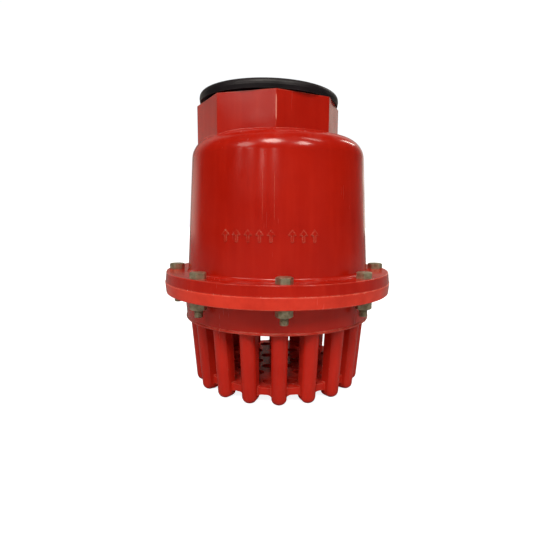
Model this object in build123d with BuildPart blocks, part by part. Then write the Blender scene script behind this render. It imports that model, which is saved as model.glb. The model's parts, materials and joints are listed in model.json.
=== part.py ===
"""Flap-type plastic foot valve for a 3 inch suction pipe.

A bell-shaped upper casing with an eccentric octagonal threaded socket is bolted to a strainer.
A rubber sheet is clamped between the two flanges. Its outer ring is the gasket, and its middle
is the flap, which a steel plate weighs down on the seat and which swings up on a thin rubber web.

Frame: millimetres, +Z up, origin at the middle of the strainer's feet, -Y is the front.
"""

from build123d import *

import os
from math import cos, pi, radians, tan

# ---------------------------------------------------------------- driving dimensions
flange_radius = 85.0  # of the lower flange, at the joint plane
upper_step = 0.4  # the upper flange stands in by this much
joint_z = 78.3  # plane where the two flanges meet
upper_flange = 7.3  # thickness
lower_flange = 8.2  # thickness
rim_draft = 0.7  # each flange rim narrows by this away from the joint plane
rim_round = 0.7

bolt_count = 8
bolt_circle = 77.0  # radius
bolt_radius = 3.0  # M6
bolt_hole = 3.3  # radius
bolt_length = 25.8
bolt_head = 4.0  # height
bolt_flats = 10.0  # across flats, head and nut
nut_height = 5.2
head_turns = (34, 45, 16, 8, 27, 52, 50, 53)  # degrees, from the front bolt on
nut_turns = (20, 9, 52, 33, 14, 41, 3, 47)
nut_slack = 0.05  # between a bolt and its nut's bore
hex_chamfer = 0.5  # height of the chamfer on a bolt head's or nut's corners
hex_inset = 0.15  # how far inside the flats that chamfer starts
bolt_tip = 0.2  # chamfer of a bolt's end, as a share of its radius

bell_foot = 67.9  # outer radius of the bell at the flange
bell_roof = 62.5  # outer radius that the wall would reach at the roof's height
roof_z = 183.1
roof_flat = 38.0  # radius of the roof's level middle
roof_slope = 10.0  # degrees, from there to the shoulder
shoulder_round = 15.0
wall = 4.5

foot_round = 2.0  # where the bell meets the flange
stop_face = 49.7  # x of the rib that stops the flap
stop_width = 7.0
stop_foot = 21.0  # the rib's lower end above the joint plane
stop_length = 50.0
stop_slope = 12.0  # height of the slope at each of its ends

mark_z = 113.6  # middle height of the raised flow arrows
mark_relief = 0.5

collar_offset = 7.0  # the socket stands this far towards -X, to leave room for the open flap
collar_corner = 52.5  # radius to the octagon's corners
collar_turn = 3.0  # degrees that the octagon is turned from the bolt pattern
collar_round = 1.0  # rounding of the octagon's upright edges and of its foot on the shoulder
collar_top = 204.6
socket_bore = 43.94  # radius, major diameter of a 3 inch pipe thread
socket_low = 166.6  # lower end of the threaded wall
socket_sleeve = 48.4  # outer radius of the sleeve inside the bell
mouth_depth = 6.0
mouth_bore = 44.9  # radius of the plain lead-in above the thread

gasket = 3.0  # thickness of the rubber sheet
gasket_radius = 72.0
gasket_fit = 0.3
port_radius = 35.0
deck = 5.2  # thickness of the seat deck under the rubber

band_top = 70.8  # outer radius under the lower flange
band_foot = 69.4  # outer radius at its lower edge
band_wall = 4.5
band_round = 1.5  # where the band meets the flange
bead_height = 1.6  # thin bead round the band's lower edge
bead_proud = 0.6
bead_round = 0.5
port_chamfer = 1.0
slot_top = 50.6
bar_count = 18
bar_lean = 4.4  # degrees
bar_taper = 0.6  # degrees
bar_nose = 66.8  # outer radius of a bar at the top of the slots
bar_width = 11.8  # at the deck
bar_depth = 11.5
bar_round = 4.5  # rounding of each foot
bar_turn = -1.5  # degrees from the bolt pattern
bar_nose_depth = 4.5  # depth of a bar's rounded front
bar_overlap = 5.0  # how far a bar is drawn past each end before it is trimmed
base_radius = 57.0
base_low = 6.2
base_thick = 5.0
base_hole = 4.5  # radius
base_pitch = 15.0  # spacing of the rings of holes
base_rings = 3
cove_under = 4.2  # radius of the blend between a bar and the base, below it
cove_over = 2.4
cove_length = 3.0
cove_margin = 1.0  # drawn past the base's edge before it is trimmed
cove_inset = 1.7  # the blend starts this far inside a bar's full half width

flap_radius = 40.5
flap_cut = 2.0  # width of the cut round the flap
tab_half = 16.0  # half the width of the hinge tab
hinge_x = 44.5
web_half = 1.7  # half the length of the thin hinge web
web_thick = 1.2
weight_radius = 37.5
weight_thick = 4.0
guard_radius = 31.0
guard_thick = 3.5
centre_bolt = 4.0  # radius, M8
centre_hole = 4.2
centre_flats = 13.0
centre_head = 5.3
centre_nut = 6.5  # height
centre_head_turn = 5  # degrees
centre_nut_turn = 12
washer_thick = 2.0
washer_radius = 7.2
washer_gap = 1.6
washer_slant = 20.0  # degrees
bolt_point = 2.0  # thread standing out of the centre nut
plate_edge = 0.8  # chamfer

cap_radius = 50.6
cap_top = 211.3
cap_tilt = 1.0  # degrees, because the plug is not pushed fully home on the -X side
cap_round = 3.2
spigot_radius = 44.5
spigot_depth = 5.4
spigot_wall = 2.6
cap_rim = 9.0  # width of the raised rim round the dished top
cap_dish = 1.6

# ---------------------------------------------------------------- derived values
upper_radius = flange_radius - upper_step
flange_top = joint_z + upper_flange
flange_low = joint_z - lower_flange
seat_z = joint_z - gasket
deck_low = seat_z - deck
wall_lean = (bell_foot - bell_roof) / (roof_z - flange_top)
shoulder_z = roof_z - (bell_roof - roof_flat) * tan(radians(roof_slope))
front = -90.0  # polar angle of the front

os.makedirs("parts", exist_ok=True)


def bell_radius(z):
    """Outer radius of the bell's wall at height z."""
    return bell_foot - wall_lean * (z - flange_top)


def rings(part, radius, z, slack=0.05):
    """Circular edges of that radius, centred at height z."""
    circles = part.edges().filter_by(GeomType.CIRCLE)
    return circles.filter_by(lambda e: abs(e.radius - radius) < slack and abs(e.arc_center.Z - z) < slack)


def save(part, label):
    part.label = label
    export_step(part, f"parts/{label}.step")


# ---------------------------------------------------------------- upper casing
def make_flow_marks():
    """Two rows of small raised arrows on the front of the bell, pointing the way the water goes."""
    half_height, half_head, half_stem = 3.8, 2.5, 0.7
    head_low = 0.4  # above the arrow's middle
    pitch = 7.2
    rows = ((-36.5, 5), (5.5, 3))  # x of a row's first arrow, and how many there are
    sunk = 1.0
    low = mark_z - half_height
    high = mark_z + half_height
    places = [(first + number * pitch, mark_z) for first, count in rows for number in range(count)]
    with BuildSketch() as arrow:
        with BuildLine():
            Polyline(
                (-half_stem, -half_height),
                (half_stem, -half_height),
                (half_stem, head_low),
                (half_head, head_low),
                (0, half_height),
                (-half_head, head_low),
                (-half_stem, head_low),
                close=True,
            )
        make_face()
    with BuildPart() as marks:
        with BuildSketch(Plane.XZ):
            with BuildLine():
                Polyline(
                    (bell_radius(low) - sunk, low),
                    (bell_radius(low) + mark_relief, low),
                    (bell_radius(high) + mark_relief, high),
                    (bell_radius(high) - sunk, high),
                    close=True,
                )
            make_face()
        revolve(axis=Axis.Z)
        with BuildSketch(Plane.XZ):
            with Locations(places):
                add(arrow.sketch)
        extrude(amount=flange_radius, mode=Mode.INTERSECT)
    return marks.part


def make_valve_body(marks):
    """Bell, upper flange, octagonal collar, threaded socket and the rib that stops the flap."""
    inner_foot = bell_radius(joint_z) - wall
    inner_shoulder = bell_radius(shoulder_z) - wall
    stop_low = joint_z + stop_foot
    stop_high = stop_low + stop_length
    stop_root = bell_radius(stop_high) - wall / 2
    with BuildPart() as body:
        with BuildSketch(Plane.XZ):
            with BuildLine():
                Polyline(
                    (0, joint_z),
                    (upper_radius, joint_z),
                    (upper_radius - rim_draft, flange_top),
                    (bell_foot, flange_top),
                    (bell_radius(shoulder_z), shoulder_z),
                    (roof_flat, roof_z),
                    (0, roof_z),
                    close=True,
                )
            make_face()
        revolve(axis=Axis.Z)
        fillet(rings(body, bell_radius(shoulder_z), shoulder_z), shoulder_round)
        with BuildSketch(Plane.XY.offset(socket_low + wall)):
            with Locations((-collar_offset, 0)):
                RegularPolygon(collar_corner, 8, rotation=collar_turn)
        extrude(amount=collar_top - socket_low - wall)
        upright = body.edges().filter_by(Axis.Z).filter_by_position(Axis.Z, roof_z, collar_top)
        shoulder = body.edges().filter_by_position(Axis.Z, shoulder_z - shoulder_round, roof_z)
        foot = shoulder.filter_by(GeomType.CIRCLE, reverse=True)
        fillet(upright + foot, collar_round)
        fillet(rings(body, bell_foot, flange_top), foot_round)
        fillet(rings(body, upper_radius - rim_draft, flange_top), rim_round)
        with BuildSketch(Plane.XZ):
            with BuildLine():
                Polyline(
                    (0, joint_z),
                    (inner_foot, joint_z),
                    (inner_shoulder, shoulder_z - wall),
                    (roof_flat, roof_z - wall),
                    (0, roof_z - wall),
                    close=True,
                )
            make_face()
            corner = vertices().group_by(Axis.Y)[-2]
            fillet(corner, shoulder_round - wall)
        revolve(axis=Axis.Z, mode=Mode.SUBTRACT)
        with BuildSketch(Plane.XY.offset(socket_low)):
            with Locations((-collar_offset, 0)):
                Circle(socket_sleeve)
        extrude(amount=roof_z - socket_low)
        with BuildSketch(Plane.XY.offset(socket_low)):
            with Locations((-collar_offset, 0)):
                Circle(socket_bore)
        extrude(amount=collar_top - socket_low, mode=Mode.SUBTRACT)
        with BuildSketch(Plane.XY.offset(collar_top - mouth_depth)):
            with Locations((-collar_offset, 0)):
                Circle(mouth_bore)
        extrude(amount=mouth_depth, mode=Mode.SUBTRACT)
        with BuildSketch(Plane.XY.offset(joint_z)):
            with PolarLocations(bolt_circle, bolt_count, start_angle=front):
                Circle(bolt_hole)
        extrude(amount=upper_flange, mode=Mode.SUBTRACT)
        with BuildSketch(Plane.XZ):
            with BuildLine():
                Polyline(
                    (stop_root, stop_low),
                    (stop_face, stop_low + stop_slope),
                    (stop_face, stop_high - stop_slope),
                    (stop_root, stop_high),
                    close=True,
                )
            make_face()
        extrude(amount=stop_width / 2, both=True)
        add(marks)
    return body.part


# ---------------------------------------------------------------- strainer moulding
def make_strainer_head():
    """Lower flange with the gasket recess, seat deck with its port, and the plain band under it."""
    with BuildPart() as head:
        with BuildSketch(Plane.XZ):
            with BuildLine():
                Polyline(
                    (port_radius, deck_low),
                    (port_radius, seat_z),
                    (gasket_radius + gasket_fit, seat_z),
                    (gasket_radius + gasket_fit, joint_z),
                    (flange_radius, joint_z),
                    (flange_radius - rim_draft, flange_low),
                    (band_top, flange_low),
                    (band_foot, slot_top + bead_height),
                    (band_foot + bead_proud, slot_top + bead_height),
                    (band_foot + bead_proud, slot_top),
                    (band_foot - band_wall, slot_top),
                    (band_top - band_wall, deck_low),
                    close=True,
                )
            make_face()
        revolve(axis=Axis.Z)
        fillet(rings(head, flange_radius - rim_draft, flange_low), rim_round)
        fillet(rings(head, band_top, flange_low), band_round)
        fillet(rings(head, band_foot + bead_proud, slot_top + bead_height), bead_round)
        fillet(rings(head, band_foot + bead_proud, slot_top), bead_round)
        fillet(rings(head, flange_radius, joint_z), bead_round)
        chamfer(rings(head, port_radius, deck_low), port_chamfer)
        with BuildSketch(Plane.XY.offset(flange_low)):
            with PolarLocations(bolt_circle, bolt_count, start_angle=front):
                Circle(bolt_hole)
        extrude(amount=lower_flange, mode=Mode.SUBTRACT)
    return head.part


def make_bar():
    """One strainer bar in the +X direction: round front, leaning inwards, with a rounded foot."""
    start_z = deck_low + bar_overlap
    lean = Vector(1, 0, 0).rotate(Axis.Y, bar_lean)
    nose = bar_nose + (start_z - slot_top) * tan(radians(bar_lean + bar_taper))
    top = Plane(origin=(nose, 0, start_z), x_dir=(0, 1, 0), z_dir=lean.cross(Vector(0, 1, 0)))
    half = bar_width / 2
    with BuildPart() as bar:
        with BuildSketch(top):
            with BuildLine():
                ThreePointArc((-half, bar_nose_depth), (0, 0), (half, bar_nose_depth))
                Polyline(
                    (half, bar_nose_depth),
                    (half, bar_depth),
                    (-half, bar_depth),
                    (-half, bar_nose_depth),
                )
            make_face()
        extrude(amount=-start_z - bar_overlap, taper=bar_taper)
        split(bisect_by=Plane.XY.offset(deck_low), keep=Keep.BOTTOM)
        split(bisect_by=Plane.XY, keep=Keep.TOP)
        foot = bar.faces().sort_by(Axis.Z)[0]
        fillet(foot.edges(), bar_round)
    return bar.part


def make_strainer_bars(bar, head):
    with BuildPart() as bars:
        with PolarLocations(0, bar_count, start_angle=front + bar_turn):
            add(bar)
        add(head, mode=Mode.SUBTRACT)
    return bars.part


def make_base_cove():
    """Blends along both sides of a bar in the +X direction, under and over the base."""
    side = bar_width / 2 - cove_inset
    root = side - cove_inset
    under = base_low - cove_under
    floor = base_low + base_thick
    over = floor + cove_over
    with BuildPart() as blend:
        with BuildSketch(Plane.YZ.offset(base_radius - cove_length)):
            with BuildLine():
                Line((root, under), (side, under))
                RadiusArc((side, under), (side + cove_under, base_low), cove_under)
                Polyline(
                    (side + cove_under, base_low),
                    (side + cove_under, floor),
                    (side + cove_over, floor),
                )
                RadiusArc((side + cove_over, floor), (side, over), cove_over)
                Polyline((side, over), (root, over), (root, under))
            make_face()
            mirror(about=Plane.YZ)
        extrude(amount=cove_length + cove_margin)
        with BuildSketch(Plane.XY):
            Circle(base_radius)
        extrude(amount=slot_top, mode=Mode.INTERSECT)
    return blend.part


def make_strainer_base(bars):
    """Perforated floor between the bars."""
    blend = make_base_cove()
    with BuildPart() as base:
        with BuildSketch(Plane.XY.offset(base_low)):
            Circle(base_radius)
            Circle(base_hole, mode=Mode.SUBTRACT)
            for ring in range(1, base_rings + 1):
                with PolarLocations(ring * base_pitch, 6 * ring):
                    Circle(base_hole, mode=Mode.SUBTRACT)
        extrude(amount=base_thick)
        with PolarLocations(0, bar_count, start_angle=front + bar_turn):
            add(blend)
        add(bars, mode=Mode.SUBTRACT)
    return base.part


# ---------------------------------------------------------------- rubber sheet
def make_gasket_ring():
    """The clamped part of the sheet, with the flap cut out of its middle."""
    notch = hinge_x + web_half
    with BuildPart() as ring:
        with BuildSketch(Plane.XY.offset(seat_z)):
            Circle(gasket_radius)
            Circle(flap_radius + flap_cut, mode=Mode.SUBTRACT)
            with Locations((notch / 2, 0)):
                Rectangle(notch, 2 * (tab_half + flap_cut), mode=Mode.SUBTRACT)
        extrude(amount=gasket)
    return ring.part


def make_hinge_web():
    """The thin strip of rubber that bends."""
    with BuildPart() as web:
        with BuildSketch(Plane.XY.offset(seat_z + (gasket - web_thick) / 2)):
            with Locations((hinge_x, 0)):
                Rectangle(2 * web_half, 2 * tab_half)
        extrude(amount=web_thick)
    return web.part


def make_flap_rubber():
    tab_end = hinge_x - web_half
    with BuildPart() as flap:
        with BuildSketch(Plane.XY.offset(seat_z)):
            Circle(flap_radius)
            with Locations((tab_end / 2, 0)):
                Rectangle(tab_end, 2 * tab_half)
            Circle(centre_hole, mode=Mode.SUBTRACT)
        extrude(amount=gasket)
    return flap.part


# ---------------------------------------------------------------- flap plates and centre bolt
def make_disc(radius, low, thick):
    """A round plate with a middle hole and a chamfered upper and lower rim."""
    with BuildPart() as disc:
        with BuildSketch(Plane.XY.offset(low)):
            Circle(radius)
            Circle(centre_hole, mode=Mode.SUBTRACT)
        extrude(amount=thick)
        chamfer(rings(disc, radius, low + thick) + rings(disc, radius, low), plate_edge)
    return disc.part


def make_spring_washer(low):
    with BuildPart() as washer:
        with BuildSketch(Plane.XY.offset(low)):
            Circle(washer_radius)
            Circle(centre_hole, mode=Mode.SUBTRACT)
            with Locations((washer_radius, 0)):
                Rectangle(washer_radius, washer_gap, rotation=washer_slant, mode=Mode.SUBTRACT)
        extrude(amount=washer_thick)
    return washer.part


# ---------------------------------------------------------------- hexagon fasteners
def hexagon_corner(flats):
    """Radius to the corners of a hexagon of that width across flats."""
    return flats / 2 / cos(pi / 6)


def make_hex_bolt(x, y, seat, radius, flats, head, length, turn, up=True):
    """Hexagon bolt at (x, y) whose head stands on height seat, above it or, with up False, below it."""
    way = 1 if up else -1
    plane = Plane(origin=(x, y, seat), x_dir=(1, 0, 0), z_dir=(0, 0, way))
    corner = hexagon_corner(flats)
    with BuildPart() as bolt:
        with BuildSketch(plane):
            RegularPolygon(flats / 2, 6, major_radius=False, rotation=turn)
        extrude(amount=head)
        with BuildSketch(Plane(origin=plane.origin, x_dir=(1, 0, 0), z_dir=(0, -1, 0))):
            with BuildLine():
                Polyline(
                    (0, 0),
                    (corner, 0),
                    (corner, way * (head - hex_chamfer)),
                    (flats / 2 - hex_inset, way * head),
                    (0, way * head),
                    close=True,
                )
            make_face()
        revolve(axis=Axis(plane.origin, (0, 0, 1)), mode=Mode.INTERSECT)
        with BuildSketch(plane):
            Circle(radius)
        extrude(amount=-length)
        tip = bolt.faces().sort_by(Axis.Z)[0 if up else -1]
        chamfer(tip.edges(), radius * bolt_tip)
    return bolt.part


def make_hex_nut(x, y, low, radius, flats, height, turn):
    """Hexagon nut at (x, y) for a bolt of that radius, chamfered above and below."""
    corner = hexagon_corner(flats)
    bore = radius + nut_slack
    with BuildPart() as nut:
        with BuildSketch(Plane(origin=(x, y, low))):
            RegularPolygon(flats / 2, 6, major_radius=False, rotation=turn)
        extrude(amount=height)
        with BuildSketch(Plane(origin=(x, y, low), x_dir=(1, 0, 0), z_dir=(0, -1, 0))):
            with BuildLine():
                Polyline(
                    (bore, 0),
                    (flats / 2 - hex_inset, 0),
                    (corner, hex_chamfer),
                    (corner, height - hex_chamfer),
                    (flats / 2 - hex_inset, height),
                    (bore, height),
                    close=True,
                )
            make_face()
        revolve(axis=Axis((x, y, low), (0, 0, 1)), mode=Mode.INTERSECT)
    return nut.part


def make_flange_fasteners():
    """Eight bolts and nuts, each tightened to an angle of its own."""
    for number, place in enumerate(PolarLocations(bolt_circle, bolt_count, start_angle=front)):
        x, y = place.position.X, place.position.Y
        turn = head_turns[number]
        bolt = make_hex_bolt(x, y, flange_top, bolt_radius, bolt_flats, bolt_head, bolt_length, turn)
        low = flange_low - nut_height
        nut = make_hex_nut(x, y, low, bolt_radius, bolt_flats, nut_height, nut_turns[number])
        save(bolt, f"flange_bolt_{number + 1}")
        save(nut, f"flange_nut_{number + 1}")


# ---------------------------------------------------------------- transport cap
def make_socket_cap():
    """Push-in plug: a thick lip over the collar, a dished top and a short hollow spigot."""
    roof = 0.6  # thickness of the top below the collar's end
    draft = 0.4  # the lip and the spigot both narrow by this
    lip_side = 2.5  # height of the lip's lower, outward-sloping side
    dish_edge = cap_radius - cap_rim
    dish_round = 1.0
    eye_outer, eye_inner, eye_height = 9.0, 7.6, 0.5  # raised ring in the middle of the top
    with BuildPart() as cap:
        with BuildSketch(Plane.XZ):
            with BuildLine():
                Polyline(
                    (0, collar_top - roof),
                    (spigot_radius - spigot_wall, collar_top - roof),
                    (spigot_radius - spigot_wall, collar_top - spigot_depth),
                    (spigot_radius - draft, collar_top - spigot_depth),
                    (spigot_radius, collar_top),
                    (cap_radius - draft, collar_top),
                    (cap_radius, collar_top + lip_side),
                    (cap_radius - draft, cap_top),
                    (dish_edge, cap_top),
                    (dish_edge - cap_dish, cap_top - cap_dish),
                    (0, cap_top - cap_dish),
                    close=True,
                )
            make_face()
        revolve(axis=Axis.Z)
        fillet(rings(cap, cap_radius - draft, cap_top), cap_round)
        fillet(rings(cap, dish_edge, cap_top), dish_round)
        with BuildSketch(Plane.XY.offset(cap_top - cap_dish)):
            Circle(eye_outer)
            Circle(eye_inner, mode=Mode.SUBTRACT)
            Circle(eye_inner / 4)
        extrude(amount=eye_height)
    right_edge = Axis((cap_radius, 0, collar_top), (0, 1, 0))
    return cap.part.rotate(right_edge, cap_tilt).moved(Location((-collar_offset, 0, 0)))


def main():
    body = make_valve_body(make_flow_marks())
    head = make_strainer_head()
    bars = make_strainer_bars(make_bar(), head)
    save(body, "valve_body")
    save(head, "strainer_head")
    save(bars, "strainer_bars")
    save(make_strainer_base(bars), "strainer_base")
    save(make_gasket_ring(), "gasket_ring")
    save(make_hinge_web(), "hinge_web")
    save(make_flap_rubber(), "flap_rubber")
    save(make_disc(weight_radius, joint_z, weight_thick), "flap_weight")
    save(make_disc(guard_radius, seat_z - guard_thick, guard_thick), "flap_guard")
    nut_low = joint_z + weight_thick + washer_thick
    save(make_spring_washer(joint_z + weight_thick), "flap_spring_washer")
    save(make_hex_nut(0, 0, nut_low, centre_bolt, centre_flats, centre_nut, centre_nut_turn), "flap_nut")
    head_seat = seat_z - guard_thick
    shank = nut_low + centre_nut + bolt_point - head_seat
    flap_bolt = make_hex_bolt(
        0, 0, head_seat, centre_bolt, centre_flats, centre_head, shank, centre_head_turn, up=False
    )
    save(flap_bolt, "flap_bolt")
    make_flange_fasteners()
    save(make_socket_cap(), "socket_cap")


main()
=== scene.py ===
"""Looks of the foot valve: glossy red mouldings, zinc-plated screws, a black cap and a rubber flap.

Metres, +Z up, -Y the front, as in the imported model.
"""

import json
import math

import bpy
from mathutils import Matrix, Quaternion, Vector


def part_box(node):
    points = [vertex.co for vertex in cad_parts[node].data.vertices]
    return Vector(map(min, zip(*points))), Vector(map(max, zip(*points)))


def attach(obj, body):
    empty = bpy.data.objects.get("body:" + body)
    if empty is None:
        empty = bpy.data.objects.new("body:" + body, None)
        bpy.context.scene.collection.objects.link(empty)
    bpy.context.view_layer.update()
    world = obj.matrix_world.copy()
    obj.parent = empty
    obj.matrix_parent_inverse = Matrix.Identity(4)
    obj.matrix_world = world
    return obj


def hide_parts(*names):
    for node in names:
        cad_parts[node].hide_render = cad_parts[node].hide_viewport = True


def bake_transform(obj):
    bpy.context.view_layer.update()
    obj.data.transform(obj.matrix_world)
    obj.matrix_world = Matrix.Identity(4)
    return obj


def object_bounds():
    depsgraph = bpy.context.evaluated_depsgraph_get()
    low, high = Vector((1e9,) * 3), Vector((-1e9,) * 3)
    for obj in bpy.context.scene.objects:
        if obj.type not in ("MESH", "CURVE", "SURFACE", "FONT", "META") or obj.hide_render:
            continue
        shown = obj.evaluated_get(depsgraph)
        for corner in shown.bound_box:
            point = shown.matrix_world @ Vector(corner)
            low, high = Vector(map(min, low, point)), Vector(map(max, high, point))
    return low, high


MM = 0.001

# camera, set to the photograph's viewing angle
CAMERA_AT = (-18.8 * MM, -332.8 * MM, 126.3 * MM)
CAMERA_TURN = math.radians(-2.94)
CAMERA_DIP = math.radians(7.88)
CAMERA_ROLL = math.radians(0.35)
CAMERA_LENS = 28.19  # millimetres
CAMERA_SENSOR = 36  # millimetres
CAMERA_NEAREST = 10 * MM

# screws
M6 = {"radius": 3.0 * MM, "pitch": 1.0 * MM, "flats": 10.0 * MM, "head": 4.0 * MM, "thread": 16 * MM}
M8 = {"radius": 4.0 * MM, "pitch": 1.25 * MM, "flats": 13.0 * MM, "head": 5.3 * MM, "thread": 14 * MM}
HEX_SIDES = 96
HEAD_TURNS = (34, 45, 16, 8, 27, 52, 50, 53)  # degrees, from the front bolt on
NUT_TURNS = (20, 9, 52, 33, 14, 41, 3, 47)
FLAP_BOLT_TURN = 5  # degrees
FLAP_NUT_TURN = 12
THREAD_STEPS = 10  # rings in one pitch
THREAD_CREST = 0.125  # width of the flat crest, in pitches
THREAD_FLANK = 0.625  # width of the two sloping sides together, in pitches
THREAD_DEPTH = 0.61  # in pitches
THREAD_RUNOUT = 0.3 * MM  # from the end of the thread to the plain shank
TIP_SHARE = 0.78  # radius of the pointed tip, as a share of the screw's
CHAMFER_FLAT = 0.95  # radius of a hexagon's flat end, as a share of half its flats
CHAMFER_SLOPE = math.radians(30)
NUT_GAP = 0.02 * MM  # between a nut's bore and the screw
NUT_SINK = 0.5 * MM  # depth of the countersink at both ends of a nut

# 3 inch pipe thread in the socket
PIPE_PITCH = 2.309 * MM
PIPE_DEPTH = 1.479 * MM
PIPE_GAP = 0.02 * MM  # between the roots of the thread and the wall
PIPE_SUNK = 0.3 * MM  # how deep the thread's outer side goes into the wall
PIPE_SIDES = 192

# mould lines, and a raised line on the collar's front corner painted pale as a highlight
BELL_SEAMS = (-101.5, -95)  # degrees around the axis
BELL_SEAM_FROM = 28 * MM  # above the bolt heads
BELL_SEAM_TO = 70 * MM
BELL_SEAM_HALF = 0.45 * MM  # half of its width
BELL_SEAM_PROUD = 0.12 * MM  # how far it stands out of the wall
COLLAR_SEAM = -87  # degrees around the socket, on the collar's front corner
COLLAR_SEAM_FROM = 21.5 * MM  # below the collar's top
COLLAR_SEAM_TO = 0.4 * MM
COLLAR_SEAM_HALF = 0.5 * MM
COLLAR_SEAM_PROUD = 0.16 * MM
SEAM_SUNK = 0.15 * MM  # how deep a line's sides go into the wall
SEAM_SHARP = 120  # degrees, more than its ridge turns, so that it is smooth

# hinge web
WEB_ACROSS = 24  # strips from the clamped ring to the flap, where it bends
WEB_ALONG = 12
WEB_THICKENING = 3  # power of the curve from its thin middle to the full sheet at its edges

# colours: red, green, blue and alpha
CASING_DEEP = (0.42, 0.008, 0.0022, 1)
CASING_BRIGHT = (0.48, 0.0115, 0.0035, 1)
STRAINER_DEEP = (0.5, 0.016, 0.008, 1)
STRAINER_BRIGHT = (0.57, 0.021, 0.011, 1)
# painted highlight: pale colours of the line on the collar's front corner
COLLAR_HIGHLIGHT_DEEP = (0.72, 0.14, 0.1, 1)
COLLAR_HIGHLIGHT_BRIGHT = (0.85, 0.34, 0.28, 1)
# pale upright streaks: partly flow marks, partly painted reflection
RED_STREAK_AND_REFLECTION = (0.66, 0.03, 0.014, 1)
# painted light: paler, more orange colour for the strainer's lower flange, as if lit from the floor
RED_PAINTED_LIGHT = (0.84, 0.05, 0.024, 1)
RED_DUST = (0.62, 0.42, 0.36, 1)
# pale edge colour: partly wear, partly a painted highlight along edges
RED_WEAR_AND_HIGHLIGHT = (0.85, 0.26, 0.18, 1)
RED_EDGE_FLECK = (0.88, 0.6, 0.5, 1)
BLACK_DEEP = (0.006, 0.004, 0.006, 1)
BLACK_BRIGHT = (0.014, 0.009, 0.013, 1)
BLACK_DUST = (0.3, 0.28, 0.27, 1)
BLACK_WORN = (0.12, 0.115, 0.125, 1)
RUBBER_CLEAN = (0.016, 0.016, 0.018, 1)
RUBBER_BLOOM = (0.07, 0.068, 0.066, 1)
RUBBER_WORN = (0.1, 0.1, 0.1, 1)
ZINC_WORN = (0.62, 0.58, 0.48, 1)
SCREW_ZINC = {"clean": (0.55, 0.49, 0.34, 1), "dull": (0.31, 0.27, 0.175, 1), "stain": (0.12, 0.09, 0.05, 1)}
PLATE_ZINC = {"clean": (0.5, 0.49, 0.46, 1), "dull": (0.36, 0.35, 0.33, 1), "stain": (0.16, 0.11, 0.07, 1)}
FLOOR_DEEP = (0.45, 0.45, 0.45, 1)
FLOOR_BRIGHT = (0.48, 0.48, 0.48, 1)
FLOOR_MIRRORED = (0.2, 0.2, 0.2, 1)  # in reflections
FLOOR_HALF = 4.0  # half of the floor's side, in metres
FLOOR_GLOW = 0.9  # emission that the camera sees

# surroundings that light the object and show in it, by direction: degrees from straight behind, + to the
# right, and brightness
SURROUND = [
    (-180, 0.06), (180, 0.06), (-125, 0.06), (-110, 0.02), (-62, 0.02), (-53, 0.2), (-46, 0.28),
    (-34, 0.32), (-26, 0.2), (-20, 0.12), (18, 0.12), (24, 0.5), (31, 0.45), (36, 0.2), (44, 0.14),
    (54, 0.06), (60, 0.04), (76, 0.02), (110, 0.02), (125, 0.06),
]
SURROUND_STRENGTH = 2.6
SURROUND_FADE = (0.08, 0.2)  # upward part of the direction where they start and stop getting dimmer
SURROUND_ABOVE = 0.52  # share of the brightness above that
SURROUND_TINT = (1.0, 0.93, 0.8, 1)
BACKGROUND = (0.965, 0.98, 1.0, 1)  # what the camera sees
BACKGROUND_STRENGTH = 1.05
LAMP_TINT = (1.0, 0.95, 0.86)
LAMP_DISTANCE = 1.2  # metres from the object's middle
LAMP_SIZE = (0.025, 0.05)
LAMP_POWER = 0.12
LAMPS = ((-52, 18), (-22, 15), (-7, 16))  # small lamps: degrees from behind the camera, and height

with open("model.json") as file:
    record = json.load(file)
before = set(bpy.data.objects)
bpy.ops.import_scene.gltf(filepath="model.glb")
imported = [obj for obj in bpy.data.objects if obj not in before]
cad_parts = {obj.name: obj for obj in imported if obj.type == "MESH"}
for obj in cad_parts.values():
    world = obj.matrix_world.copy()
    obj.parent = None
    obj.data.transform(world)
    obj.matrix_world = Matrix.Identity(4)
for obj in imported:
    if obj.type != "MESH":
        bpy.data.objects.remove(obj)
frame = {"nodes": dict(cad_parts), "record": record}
cad_low, cad_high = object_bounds()


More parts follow.
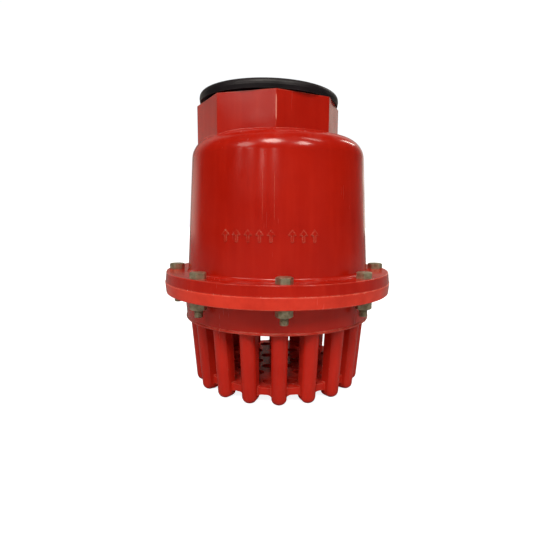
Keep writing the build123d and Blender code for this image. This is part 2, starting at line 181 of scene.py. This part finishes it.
# ---------------------------------------------------------------- materials
class Finish:
    """A material, with short names for the nodes that it is made of."""

    def __init__(self, name):
        self.material = bpy.data.materials.new(name)
        self.material.use_nodes = True
        self.nodes = self.material.node_tree.nodes
        self.shader = self.nodes["Principled BSDF"]
        self.place = self.nodes.new("ShaderNodeTexCoord").outputs["Object"]

    def put(self, source, socket):
        self.material.node_tree.links.new(source, socket)

    def give(self, socket, value):
        """Links a node's output to socket, or sets it to a plain value."""
        if isinstance(value, bpy.types.NodeSocket):
            self.put(value, socket)
        else:
            socket.default_value = value

    def noise(self, size, detail=3.0, stretch=(1, 1, 1), roughness=0.55):
        """Noise from 0 to 1 with features about size metres across, longer along the axes in stretch."""
        mapping = self.nodes.new("ShaderNodeMapping")
        mapping.inputs["Scale"].default_value = [1 / (size * s) for s in stretch]
        self.put(self.place, mapping.inputs["Vector"])
        node = self.nodes.new("ShaderNodeTexNoise")
        node.inputs["Scale"].default_value = 1.0
        node.inputs["Detail"].default_value = detail
        node.inputs["Roughness"].default_value = roughness
        self.put(mapping.outputs["Vector"], node.inputs["Vector"])
        return node.outputs["Fac"]

    def cells(self, size):
        """Distance from the middle of cells about size metres across."""
        mapping = self.nodes.new("ShaderNodeMapping")
        mapping.inputs["Scale"].default_value = [1 / size] * 3
        self.put(self.place, mapping.inputs["Vector"])
        node = self.nodes.new("ShaderNodeTexVoronoi")
        node.inputs["Scale"].default_value = 1.0
        self.put(mapping.outputs["Vector"], node.inputs["Vector"])
        return node.outputs["Distance"]

    def span(self, value, low, high, start=0.0, end=1.0):
        """Turns low to high into start to end, and holds it outside that."""
        node = self.nodes.new("ShaderNodeMapRange")
        self.give(node.inputs["Value"], value)
        node.inputs["From Min"].default_value = low
        node.inputs["From Max"].default_value = high
        node.inputs["To Min"].default_value = start
        node.inputs["To Max"].default_value = end
        return node.outputs["Result"]

    def maths(self, operation, a, b):
        """A maths node's result, for operation ADD or MULTIPLY."""
        node = self.nodes.new("ShaderNodeMath")
        node.operation = operation
        self.give(node.inputs[0], a)
        self.give(node.inputs[1], b)
        return node.outputs["Value"]

    def mix(self, share, first, second):
        """Colour going from first to second as share goes from 0 to 1."""
        node = self.nodes.new("ShaderNodeMix")
        node.data_type = "RGBA"
        self.give(node.inputs["Factor"], share)
        for name, colour in (("A", first), ("B", second)):
            socket = next(s for s in node.inputs if s.name == name and s.type == "RGBA")
            self.give(socket, colour)
        return next(s for s in node.outputs if s.type == "RGBA")

    def edges(self, radius):
        """1 on edges and corners, 0 on open surfaces."""
        bevel = self.nodes.new("ShaderNodeBevel")
        bevel.samples = 4
        bevel.inputs["Radius"].default_value = radius
        surface = self.nodes.new("ShaderNodeNewGeometry")
        dot = self.nodes.new("ShaderNodeVectorMath")
        dot.operation = "DOT_PRODUCT"
        self.put(bevel.outputs["Normal"], dot.inputs[0])
        self.put(surface.outputs["Normal"], dot.inputs[1])
        flat, corner = 0.995, 0.9  # cosine of the angle between the surface and its rounded form
        return self.span(dot.outputs["Value"], flat, corner)

    def upward(self):
        """Height above the floor, in metres."""
        parts = self.nodes.new("ShaderNodeSeparateXYZ")
        self.put(self.place, parts.inputs["Vector"])
        return parts.outputs["Z"]

    def facing_up(self):
        """1 where the surface faces up, 0 where it is upright or faces down."""
        surface = self.nodes.new("ShaderNodeNewGeometry")
        parts = self.nodes.new("ShaderNodeSeparateXYZ")
        self.put(surface.outputs["Normal"], parts.inputs["Vector"])
        steep, level = 0.3, 0.95
        return self.span(parts.outputs["Z"], steep, level)

    def height(self, *layers):
        """Bump made of (height from 0 to 1, depth in metres) layers."""
        normal = None
        for value, depth in layers:
            bump = self.nodes.new("ShaderNodeBump")
            bump.inputs["Strength"].default_value = 1.0
            bump.inputs["Distance"].default_value = depth
            self.put(value, bump.inputs["Height"])
            if normal is not None:
                self.put(normal, bump.inputs["Normal"])
            normal = bump.outputs["Normal"]
        self.put(normal, self.shader.inputs["Normal"])

    def finish(self, colour, roughness, metallic=0.0, ior=1.5):
        self.give(self.shader.inputs["Base Color"], colour)
        self.give(self.shader.inputs["Roughness"], roughness)
        self.shader.inputs["Metallic"].default_value = metallic
        self.shader.inputs["IOR"].default_value = ior
        return self.material


def red_plastic(name, deep, bright, edge_wear_and_highlight, painted_light_from=None):
    """Injection-moulded plastic: glossy, a little uneven, with upright pale streaks that are partly flow
    marks and partly painted reflection, scuffs, and pale edges that are partly worn and partly a painted
    highlight.

    Above the given height the surface is painted paler and more orange in patches: painted light, standing
    in for light thrown up from the floor.
    """
    f = Finish(name)
    cloud = f.span(f.noise(45 * MM, detail=2), 0.35, 0.65)
    # upright streaks: partly flow marks, partly painted reflection streaks
    streak_and_reflection = f.span(f.noise(7 * MM, detail=3, stretch=(1, 1, 9)), 0.45, 0.75)
    colour = f.mix(cloud, deep, bright)
    colour = f.mix(f.maths("MULTIPLY", streak_and_reflection, 0.22), colour, RED_STREAK_AND_REFLECTION)
    # painted light on the lower flange, in patches, as if lit from the floor below
    if painted_light_from is not None:
        above = f.span(f.upward(), painted_light_from, painted_light_from + 0.4 * MM)
        painted_light_patches = f.span(f.noise(14 * MM, detail=4), 0.35, 0.65, start=0.45, end=0.95)
        colour = f.mix(f.maths("MULTIPLY", above, painted_light_patches), colour, RED_PAINTED_LIGHT)
    dust = f.span(f.noise(6 * MM, detail=6), 0.45, 0.8, start=0.0, end=0.1)
    colour = f.mix(f.maths("MULTIPLY", f.facing_up(), dust), colour, RED_DUST)
    # pale edges: partly wear, partly a painted highlight on edges and fillets
    edge = f.edges(1.0 * MM)
    pale_edge_share = f.span(f.noise(5 * MM, detail=4), 0.35, 0.62, start=0.15 * edge_wear_and_highlight, end=edge_wear_and_highlight)
    colour = f.mix(f.maths("MULTIPLY", edge, pale_edge_share), colour, RED_WEAR_AND_HIGHLIGHT)
    # small pale flecks on the edges
    edge_fleck = f.span(f.noise(1.7 * MM, detail=2), 0.68, 0.72)
    colour = f.mix(f.maths("MULTIPLY", edge, edge_fleck), colour, RED_EDGE_FLECK)
    scratch = f.span(f.noise(2.2 * MM, detail=2, stretch=(1, 1, 14)), 0.66, 0.72)
    scuff = f.maths("MULTIPLY", scratch, f.span(f.noise(30 * MM, detail=1), 0.5, 0.62))
    smooth = f.span(f.noise(18 * MM, detail=4), 0.3, 0.7, start=0.13, end=0.24)
    roughness = f.maths("ADD", smooth, f.maths("MULTIPLY", scuff, 0.22))
    f.height(
        (f.noise(28 * MM, detail=1), 0.35 * MM),
        (f.noise(2.6 * MM, detail=2), 0.018 * MM),
        (f.maths("MULTIPLY", scuff, -1.0), 0.02 * MM),
    )
    return f.finish(colour, roughness, ior=1.42)


def black_plastic():
    """Soft black plug: satin, with scuffs, pale edges and dust on its top."""
    f = Finish("black_plastic")
    cloud = f.span(f.noise(20 * MM, detail=3), 0.35, 0.65)
    colour = f.mix(cloud, BLACK_DEEP, BLACK_BRIGHT)
    dust = f.span(f.noise(4 * MM, detail=6), 0.45, 0.75, start=0.0, end=0.1)
    colour = f.mix(f.maths("MULTIPLY", f.facing_up(), dust), colour, BLACK_DUST)
    pale_edge_share = f.span(f.noise(3 * MM, detail=4), 0.4, 0.7, start=0.0, end=0.4)
    colour = f.mix(f.maths("MULTIPLY", f.edges(0.8 * MM), pale_edge_share), colour, BLACK_WORN)
    scuff = f.span(f.noise(1.6 * MM, detail=3, stretch=(9, 1, 1)), 0.62, 0.7)
    satin = f.span(f.noise(9 * MM, detail=4), 0.3, 0.7, start=0.36, end=0.52)
    roughness = f.maths("ADD", satin, f.maths("MULTIPLY", scuff, 0.15))
    f.height((f.noise(12 * MM, detail=2), 0.2 * MM), (f.noise(0.9 * MM, detail=2), 0.02 * MM))
    return f.finish(colour, roughness, ior=1.38)


def rubber():
    """Sheet rubber: dull, with grey bloom and a fine cloth print."""
    f = Finish("black_rubber")
    bloom = f.span(f.noise(11 * MM, detail=5), 0.42, 0.72, start=0.0, end=0.5)
    colour = f.mix(bloom, RUBBER_CLEAN, RUBBER_BLOOM)
    colour = f.mix(f.maths("MULTIPLY", f.edges(0.5 * MM), 0.4), colour, RUBBER_WORN)
    threads = [f.noise(0.7 * MM, detail=1, stretch=way) for way in ((1, 6, 6), (6, 1, 6))]
    f.height((f.maths("MULTIPLY", *threads), 0.06 * MM), (f.noise(14 * MM, detail=2), 0.3 * MM))
    return f.finish(colour, f.span(f.noise(6 * MM, detail=3), 0.3, 0.7, start=0.62, end=0.85))


def zinc(name, clean, dull, stain, stain_share):
    """Zinc-plated steel that has gone dull, with darker stains and bright worn edges."""
    f = Finish(name)
    colour = f.mix(f.span(f.noise(3.5 * MM, detail=4), 0.35, 0.65), clean, dull)
    spots = f.span(f.noise(1.4 * MM, detail=5), 0.55, 0.7, start=0.0, end=stain_share)
    colour = f.mix(spots, colour, stain)
    pale_edge_share = f.span(f.noise(2 * MM, detail=3), 0.35, 0.6, start=0.1, end=0.7)
    colour = f.mix(f.maths("MULTIPLY", f.edges(0.35 * MM), pale_edge_share), colour, ZINC_WORN)
    plated = f.span(f.noise(2 * MM, detail=4), 0.3, 0.7, start=0.3, end=0.48)
    roughness = f.maths("ADD", plated, f.maths("MULTIPLY", spots, 0.25))
    f.height((f.noise(0.8 * MM, detail=3), 0.035 * MM), (f.cells(1.9 * MM), 0.03 * MM))
    return f.finish(colour, roughness, metallic=0.75)


# ---------------------------------------------------------------- meshes
def make_piece(name, points, faces, material, body, sharp=35):
    """A mesh piece that rides on a body, smooth but for edges over sharp degrees."""
    mesh = bpy.data.meshes.new(name)
    mesh.from_pydata(points, [], faces)
    mesh.validate()
    for face in mesh.polygons:
        face.use_smooth = True
    mesh.set_sharp_from_angle(angle=math.radians(sharp))
    mesh.materials.append(material)
    piece = bpy.data.objects.new(name, mesh)
    bpy.context.scene.collection.objects.link(piece)
    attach(piece, body)
    return piece


def turned(centre, sides, rings, closed=False):
    """Points and faces of rings of (radius, height) around an upright axis.

    Each ring is a function of the angle. With closed, the last ring joins the first, as in a tube's
    wall, and without it the first and last ring are filled to a point on the axis.
    """
    points = []
    for ring in rings:
        for i in range(sides):
            angle = 2 * math.pi * i / sides
            radius, height = ring(angle)
            points.append((
                centre[0] + radius * math.cos(angle),
                centre[1] + radius * math.sin(angle),
                height,
            ))
    count = len(rings)
    faces = []
    for r in range(count if closed else count - 1):
        low, high = r * sides, (r + 1) % count * sides
        for i in range(sides):
            j = (i + 1) % sides
            faces.append((low + i, low + j, high + j, high + i))
    if not closed:
        for ring, turn in ((0, -1), (count - 1, 1)):
            points.append((centre[0], centre[1], points[ring * sides][2]))
            for i in range(sides):
                pair = (ring * sides + i, ring * sides + (i + 1) % sides)
                faces.append((pair[::turn]) + (len(points) - 1,))
    return points, faces


def plain(radius, height):
    """A round ring."""
    return lambda angle: (radius, height)


def hexagon(flats, turn, blunt=0.15 * MM):
    """Radius of a hexagon with slightly blunted corners, as a function of the angle."""
    def radius(angle):
        off = (angle - turn + math.pi / 6) % (math.pi / 3) - math.pi / 6
        return min(flats / 2 / math.cos(off), flats / math.sqrt(3) - blunt)
    return radius


def hexagon_end(flats, turn, height, inward):
    """Rings of a hexagon's chamfered end: inward is +1 where the part's middle is above it, -1 below."""
    outline = hexagon(flats, turn)
    flat = flats / 2 * CHAMFER_FLAT
    slope = math.tan(CHAMFER_SLOPE)
    return [
        plain(flat, height),
        lambda angle: (outline(angle), height + inward * (outline(angle) - flat) * slope),
    ]


def thread_radius(screw, angle, height):
    """Radius of a right-hand screw thread at that angle and height."""
    turns = height / screw["pitch"] - angle / (2 * math.pi)
    ridge = abs(2 * (turns % 1) - 1)
    flank = min(max((ridge - THREAD_CREST) / THREAD_FLANK, 0), 1)
    return screw["radius"] - THREAD_DEPTH * screw["pitch"] * flank


def threaded_rings(screw, low, high, tip):
    """Rings of a threaded shank from low to high, tapering to its tip at height tip."""
    count = round((high - low) / screw["pitch"] * THREAD_STEPS)

    def ring(height):
        limit = screw["radius"] * TIP_SHARE + abs(height - tip)
        return lambda angle: (min(thread_radius(screw, angle, height), limit), height)

    return [ring(low + (high - low) * i / count) for i in range(count + 1)]


def make_bolt(node, screw, material, turn, head_up):
    """Hexagon bolt in a CAD bolt's place: chamfered head, plain shank and a real thread at its end."""
    low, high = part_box(node)
    centre = (low + high) / 2
    if head_up:
        seat = high.z - screw["head"]
        thread_end = low.z + screw["thread"]
        rings = threaded_rings(screw, low.z, thread_end, low.z)
        rings += [plain(screw["radius"], thread_end + THREAD_RUNOUT), plain(screw["radius"], seat)]
        outline = hexagon(screw["flats"], turn)
        rings.append(lambda angle: (outline(angle), seat))
        rings += hexagon_end(screw["flats"], turn, high.z, -1)[::-1]
    else:
        seat = low.z + screw["head"]
        rings = hexagon_end(screw["flats"], turn, low.z, 1)
        outline = hexagon(screw["flats"], turn)
        rings.append(lambda angle: (outline(angle), seat))
        thread_end = high.z - screw["thread"]
        rings += [plain(screw["radius"], seat), plain(screw["radius"], thread_end - THREAD_RUNOUT)]
        rings += threaded_rings(screw, thread_end, high.z, high.z)
    points, faces = turned(centre, HEX_SIDES, rings)
    piece = make_piece(node + "_shaped", points, faces, material, body_of(node))
    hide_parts(node)


def make_nut(node, screw, material, turn):
    """Hexagon nut in a CAD nut's place, chamfered at both ends, with a countersunk bore."""
    low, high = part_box(node)
    centre = (low + high) / 2
    bore = screw["radius"] + NUT_GAP
    rings = [plain(bore, low.z + NUT_SINK), plain(bore + NUT_SINK, low.z)]
    rings += hexagon_end(screw["flats"], turn, low.z, 1)
    rings += hexagon_end(screw["flats"], turn, high.z, -1)[::-1]
    rings += [plain(bore + NUT_SINK, high.z), plain(bore, high.z - NUT_SINK)]
    points, faces = turned(centre, HEX_SIDES, rings, closed=True)
    piece = make_piece(node + "_shaped", points, faces, material, body_of(node))
    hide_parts(node)


def body_of(node):
    """Name of the body that a CAD node belongs to."""
    bodies = frame["record"]["behaviour"]["bodies"]
    return next(name for name, nodes in bodies.items() if node in nodes)


def mount(name):
    """The record's mount of that name."""
    return next(m for m in frame["record"]["mounts"] if m["name"] == name)


def make_screws():
    """Flange bolts and nuts, each at an angle of its own, and the flap's centre bolt and nut."""
    steel = zinc("zinc_steel", **SCREW_ZINC, stain_share=0.45)
    for number, turns in enumerate(zip(HEAD_TURNS, NUT_TURNS), start=1):
        make_bolt(f"flange_bolt_{number}", M6, steel, math.radians(turns[0]), head_up=True)
        make_nut(f"flange_nut_{number}", M6, steel, math.radians(turns[1]))
    make_bolt("flap_bolt", M8, steel, math.radians(FLAP_BOLT_TURN), head_up=False)
    make_nut("flap_nut", M8, steel, math.radians(FLAP_NUT_TURN))
    frame["nodes"]["flap_spring_washer"].data.materials[0] = steel


def make_pipe_thread(material):
    """The socket's pipe thread: rounded ridges standing in from the plain wall of the CAD model."""
    socket = mount("pipe_socket")
    centre = socket["pos_m"]
    wall = socket["dims"]["r_mm"] * MM
    half = socket["dims"]["length_mm"] / 2 * MM
    low, high = centre[2] - half, centre[2] + half
    count = round((high - low) / PIPE_PITCH * THREAD_STEPS)
    fade = 2 * PIPE_PITCH  # the ridges rise from nothing over this height at both ends

    def ring(height):
        strength = min(1, (height - low) / fade, (high - height) / fade)

        def radius(angle):
            turns = height / PIPE_PITCH - angle / (2 * math.pi)
            ridge = 0.5 - 0.5 * math.cos(2 * math.pi * turns)
            return wall - PIPE_GAP - PIPE_DEPTH * ridge * strength, height

        return radius

    rings = [ring(low + (high - low) * i / count) for i in range(count, -1, -1)]
    rings += [plain(wall + PIPE_SUNK, low), plain(wall + PIPE_SUNK, high)]
    points, faces = turned(centre, PIPE_SIDES, rings, closed=True)
    make_piece("socket_thread", points, faces, material, "casing")


def make_hinge_web(material):
    """The thin strip of rubber between the clamped ring and the flap, thinner in its middle, where the real
    one bends as the flap swings.
    """
    low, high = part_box("hinge_web")
    middle = (low + high) / 2
    sheet_low, sheet_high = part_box("gasket_ring")
    full = (sheet_high.z - sheet_low.z) / 2
    thin = (high.z - low.z) / 2
    points = []
    for side in (1, -1):
        for i in range(WEB_ACROSS + 1):
            share = i / WEB_ACROSS
            off = abs(2 * share - 1) ** WEB_THICKENING
            x = low.x + (high.x - low.x) * share
            z = middle.z + side * (thin + (full - thin) * off)
            points += [(x, low.y + (high.y - low.y) * j / WEB_ALONG, z) for j in range(WEB_ALONG + 1)]
    row = WEB_ALONG + 1
    layer = (WEB_ACROSS + 1) * row
    faces = []
    for i in range(WEB_ACROSS):
        for j in range(WEB_ALONG):
            a, b = i * row + j, i * row + j + 1
            faces.append((a, a + row, b + row, b))
            faces.append((layer + a, layer + b, layer + b + row, layer + a + row))
    for i in range(WEB_ACROSS):
        for j, turn in ((0, 1), (WEB_ALONG, -1)):
            a = i * row + j
            faces.append((a, layer + a, layer + a + row, a + row)[::turn])
    for i, turn in ((0, 1), (WEB_ACROSS, -1)):
        for j in range(WEB_ALONG):
            a = i * row + j
            faces.append((a, a + 1, layer + a + 1, layer + a)[::turn])
    piece = make_piece("hinge_web_bending", points, faces, material, "casing")
    piece.parent = None
    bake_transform(piece)
    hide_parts("hinge_web")


def make_seam(name, centre, angle, low, high, half, proud, material):
    """A thin raised line up the casing, where the mould's slides met, at that angle around centre.

    It goes from height low to high, half to each side, and stands proud of the wall but for its ends.
    """
    body = frame["nodes"]["valve_body"]
    way = Vector((math.cos(angle), math.sin(angle), 0))
    side = way.cross(Vector((0, 0, 1)))
    steps = 24
    points = []
    for i in range(steps + 1):
        height = low + (high - low) * i / steps
        start = Vector((centre[0], centre[1], height)) + way * cad_high.x
        wall = body.ray_cast(start, -way)[1]
        fade = min(1, 4 * i / steps, 4 - 4 * i / steps)  # over a quarter of its length at both ends
        foot = wall - way * SEAM_SUNK
        ridge = foot + way * (proud + SEAM_SUNK) * fade
        points += [foot - side * half, ridge, foot + side * half]
    faces = [(2, 1, 0), (3 * steps, 3 * steps + 1, 3 * steps + 2)]
    for i in range(0, 3 * steps, 3):
        faces += [(i + a, i + b, i + b + 3, i + a + 3) for a, b in ((0, 1), (1, 2), (2, 0))]
    make_piece(name, points, faces, material, "casing", sharp=SEAM_SHARP)


def make_seams(material):
    """Two lines on the bell, in the casing's material, and one on the collar's front corner, painted pale as
    a highlight.
    """
    bolt_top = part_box("flange_bolt_1")[1].z
    low, high = bolt_top + BELL_SEAM_FROM, bolt_top + BELL_SEAM_TO
    for number, angle in enumerate(BELL_SEAMS, start=1):
        name, angle = f"bell_seam_{number}", math.radians(angle)
        make_seam(name, (0, 0), angle, low, high, BELL_SEAM_HALF, BELL_SEAM_PROUD, material)
    # the collar's line is painted pale: a painted highlight on its front corner
    pale = red_plastic("red_plastic_seam", COLLAR_HIGHLIGHT_DEEP, COLLAR_HIGHLIGHT_BRIGHT, edge_wear_and_highlight=0.5)
    socket = mount("pipe_socket")["pos_m"]
    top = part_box("valve_body")[1].z
    low, high = top - COLLAR_SEAM_FROM, top - COLLAR_SEAM_TO
    angle = math.radians(COLLAR_SEAM)
    make_seam("collar_seam", socket, angle, low, high, COLLAR_SEAM_HALF, COLLAR_SEAM_PROUD, pale)


def dress_nodes():
    """Materials of the CAD nodes that show as they are, and the pieces that share them."""
    casing = red_plastic("red_plastic", CASING_DEEP, CASING_BRIGHT, edge_wear_and_highlight=0.4)
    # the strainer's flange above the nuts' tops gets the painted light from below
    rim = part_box("flange_nut_1")[1].z
    strainer = red_plastic("red_plastic_strainer", STRAINER_DEEP, STRAINER_BRIGHT, edge_wear_and_highlight=0.8, painted_light_from=rim)
    basket = red_plastic("red_plastic_basket", STRAINER_DEEP, STRAINER_BRIGHT, edge_wear_and_highlight=0.3)
    sheet = rubber()
    plate = zinc("plate_steel", **PLATE_ZINC, stain_share=0.35)
    worn_by = {
        "valve_body": casing,
        "strainer_head": strainer,
        "strainer_bars": basket,
        "strainer_base": basket,
        "gasket_ring": sheet,
        "flap_rubber": sheet,
        "flap_weight": plate,
        "flap_guard": plate,
        "socket_cap": black_plastic(),
    }
    for node, material in worn_by.items():
        frame["nodes"][node].data.materials[0] = material
    make_pipe_thread(casing)
    make_hinge_web(sheet)
    make_seams(casing)


# ---------------------------------------------------------------- camera, floor and light
def make_camera():
    """A camera at the photograph's viewing angle."""
    data = bpy.data.cameras.new("camera")
    data.lens = CAMERA_LENS
    data.sensor_width = CAMERA_SENSOR
    data.clip_start = CAMERA_NEAREST
    camera = bpy.data.objects.new("camera", data)
    camera.location = CAMERA_AT
    forward = Vector((
        -math.sin(CAMERA_TURN) * math.cos(CAMERA_DIP),
        math.cos(CAMERA_TURN) * math.cos(CAMERA_DIP),
        -math.sin(CAMERA_DIP),
    ))
    camera.rotation_mode = "QUATERNION"
    camera.rotation_quaternion = forward.to_track_quat("-Z", "Y") @ Quaternion((0, 0, 1), CAMERA_ROLL)
    bpy.context.scene.collection.objects.link(camera)
    bpy.context.scene.camera = camera


def aim(light, azimuth, height):
    """Turns a light to shine from azimuth and height, in degrees, and returns that direction.

    Azimuth 0 is behind the camera, and + is to its right.
    """
    turn, rise = math.radians(azimuth), math.radians(height)
    source = Vector((math.sin(turn) * math.cos(rise), -math.cos(turn) * math.cos(rise), math.sin(rise)))
    light.rotation_mode = "QUATERNION"
    light.rotation_quaternion = (-source).to_track_quat("-Z", "Y")
    return source


def make_sun(name, azimuth, height, strength, spread, mirrored=True):
    """A distant light, spread degrees wide. With mirrored False it makes no highlights."""
    data = bpy.data.lights.new(name, "SUN")
    data.energy = strength
    data.color = LAMP_TINT
    data.angle = math.radians(spread)
    light = bpy.data.objects.new(name, data)
    light.visible_glossy = mirrored
    aim(light, azimuth, height)
    bpy.context.scene.collection.objects.link(light)


def make_panel(name, azimuth, height, size, power):
    """A rectangular light, facing the object from that direction."""
    data = bpy.data.lights.new(name, "AREA")
    data.shape = "RECTANGLE"
    data.size, data.size_y = size
    data.energy = power
    data.color = LAMP_TINT
    light = bpy.data.objects.new(name, data)
    light.location = (cad_low + cad_high) / 2 + LAMP_DISTANCE * aim(light, azimuth, height)
    light.visible_camera = False
    bpy.context.scene.collection.objects.link(light)
    return light


def make_tube(name, start, end, width, power):
    """A straight lamp from one direction to another, each an (azimuth, height) in degrees."""
    mean = [(a + b) / 2 for a, b in zip(start, end)]
    lamp = make_panel(name, *mean, (width, width), power)
    ends = [LAMP_DISTANCE * aim(lamp, *way) for way in (start, end)]
    run = ends[1] - ends[0]
    lamp.data.size = run.length
    out = aim(lamp, *mean)
    along = (run - run.dot(out) * out).normalized()
    lamp.rotation_quaternion = Matrix((along, out.cross(along), out)).transposed().to_quaternion()


def make_floor():
    """A pale floor, which shines a little so that it meets the white background without a line."""
    mesh = bpy.data.meshes.new("floor")
    corners = [(x * FLOOR_HALF, y * FLOOR_HALF, 0) for x, y in ((-1, -1), (1, -1), (1, 1), (-1, 1))]
    mesh.from_pydata(corners, [], [(0, 1, 2, 3)])
    f = Finish("floor")
    colour = f.mix(f.noise(200 * MM, detail=2), FLOOR_DEEP, FLOOR_BRIGHT)
    mirrored = f.nodes.new("ShaderNodeLightPath").outputs["Is Glossy Ray"]
    colour = f.mix(mirrored, colour, FLOOR_MIRRORED)
    f.shader.inputs["Specular IOR Level"].default_value = 0.0
    f.shader.inputs["Emission Color"].default_value = BACKGROUND
    seen = f.nodes.new("ShaderNodeLightPath").outputs["Is Camera Ray"]
    f.put(f.span(seen, 0, 1, start=0.0, end=FLOOR_GLOW), f.shader.inputs["Emission Strength"])
    mesh.materials.append(f.finish(colour, roughness=0.7))
    floor = bpy.data.objects.new("floor", mesh)
    bpy.context.scene.collection.objects.link(floor)


def make_world():
    """White for the camera. For light and reflections, warm surroundings that change with direction."""
    world = bpy.data.worlds.new("studio")
    world.use_nodes = True
    bpy.context.scene.world = world
    nodes, links = world.node_tree.nodes, world.node_tree.links
    background = nodes["Background"]

    def join(operation, *values):
        node = nodes.new("ShaderNodeMath")
        node.operation = operation
        for socket, value in zip(node.inputs, values):
            if isinstance(value, bpy.types.NodeSocket):
                links.new(value, socket)
            else:
                socket.default_value = value
        return node.outputs["Value"]

    parts = nodes.new("ShaderNodeSeparateXYZ")
    links.new(nodes.new("ShaderNodeTexCoord").outputs["Generated"], parts.inputs["Vector"])
    azimuth = join("ARCTAN2", parts.outputs["X"], parts.outputs["Y"])
    ramp = nodes.new("ShaderNodeValToRGB")
    links.new(join("MULTIPLY_ADD", azimuth, 0.5 / math.pi, 0.5), ramp.inputs["Fac"])
    stops = ramp.color_ramp.elements
    for degrees, level in SURROUND:
        position = 0.5 + degrees / 360
        stop = stops[round(position)] if position in (0, 1) else stops.new(position)
        stop.color = (level, level, level, 1)
    fade = nodes.new("ShaderNodeMapRange")
    fade.interpolation_type = "SMOOTHSTEP"
    fade_start, fade_end = SURROUND_FADE
    settings = {"From Min": fade_start, "From Max": fade_end, "To Min": 1.0, "To Max": SURROUND_ABOVE}
    for name, value in settings.items():
        fade.inputs[name].default_value = value
    links.new(parts.outputs["Z"], fade.inputs["Value"])
    dimmed = join("MULTIPLY", ramp.outputs["Color"], fade.outputs["Result"])
    seen = nodes.new("ShaderNodeLightPath").outputs["Is Camera Ray"]
    strength = nodes.new("ShaderNodeMix")
    links.new(seen, strength.inputs["Factor"])
    links.new(join("MULTIPLY", dimmed, SURROUND_STRENGTH), strength.inputs["A"])
    strength.inputs["B"].default_value = BACKGROUND_STRENGTH
    links.new(strength.outputs["Result"], background.inputs["Strength"])
    tint = nodes.new("ShaderNodeMix")
    tint.data_type = "RGBA"
    links.new(seen, tint.inputs["Factor"])
    for name, colour in (("A", SURROUND_TINT), ("B", BACKGROUND)):
        next(s for s in tint.inputs if s.name == name and s.type == "RGBA").default_value = colour
    links.new(next(s for s in tint.outputs if s.type == "RGBA"), background.inputs["Color"])


def light_scene():
    """Wide soft lights from above, and small lamps that make the highlights."""
    make_world()
    make_sun("key", azimuth=-12, height=52, strength=1.72, spread=20)
    make_sun("fill_right", azimuth=34, height=40, strength=0.8, spread=14)
    make_sun("fill_left", azimuth=-50, height=34, strength=0.5, spread=20)
    make_sun("fill_back", azimuth=160, height=48, strength=1.2, spread=20, mirrored=False)
    make_sun("fill_side", azimuth=-140, height=40, strength=0.35, spread=20, mirrored=False)
    make_tube("tube_1", start=(51, 64), end=(70, 49), width=0.03, power=1.0)
    make_tube("tube_2", start=(122, 42), end=(136, 28), width=0.035, power=0.7)
    make_panel("window", azimuth=-38, height=19, size=(0.16, 0.06), power=0.22)
    for number, (azimuth, height) in enumerate(LAMPS, start=1):
        make_panel(f"lamp_{number}", azimuth, height, LAMP_SIZE, LAMP_POWER)
    bpy.context.scene.view_settings.view_transform = "Standard"


make_camera()
light_scene()
make_floor()
dress_nodes()
make_screws()
